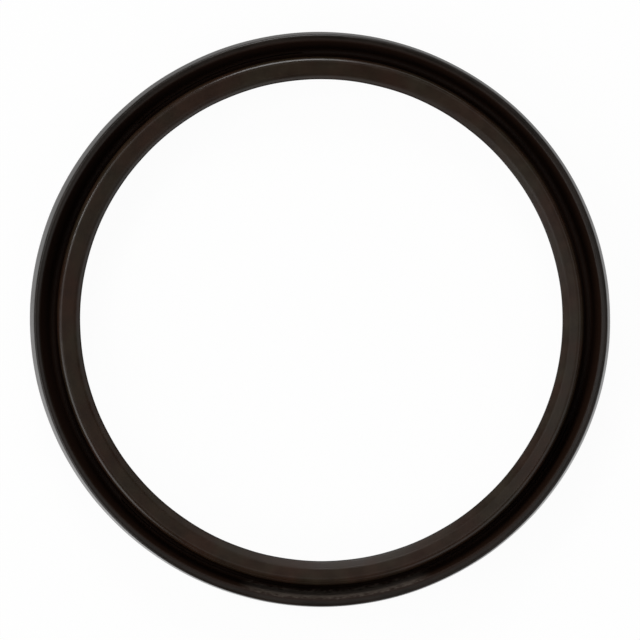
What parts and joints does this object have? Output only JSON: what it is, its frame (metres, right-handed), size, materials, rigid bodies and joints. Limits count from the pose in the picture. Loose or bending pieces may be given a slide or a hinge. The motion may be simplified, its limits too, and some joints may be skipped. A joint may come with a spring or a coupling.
{
  "type": "lip seal ring",
  "caption": "Round rubber lip seal ring with a U-shaped section: an outer lip with a sloping crown, a deep groove and a bevelled inner sealing lip.",
  "frame": {"origin": "centre of the flat heel face, on the ring's axis", "axes": "+Z along the ring's axis, from the heel towards the open side with the two lips"},
  "size_m": [0.101, 0.101, 0.009],
  "materials": {
    "seal_rubber": "satin moulded fluoroelastomer, dark brown-black, with a matt trimmed inner lip"
  },
  "bodies": {
    "root": {"lip_seal_ring": "seal_rubber"}
  },
  "joints": []
}
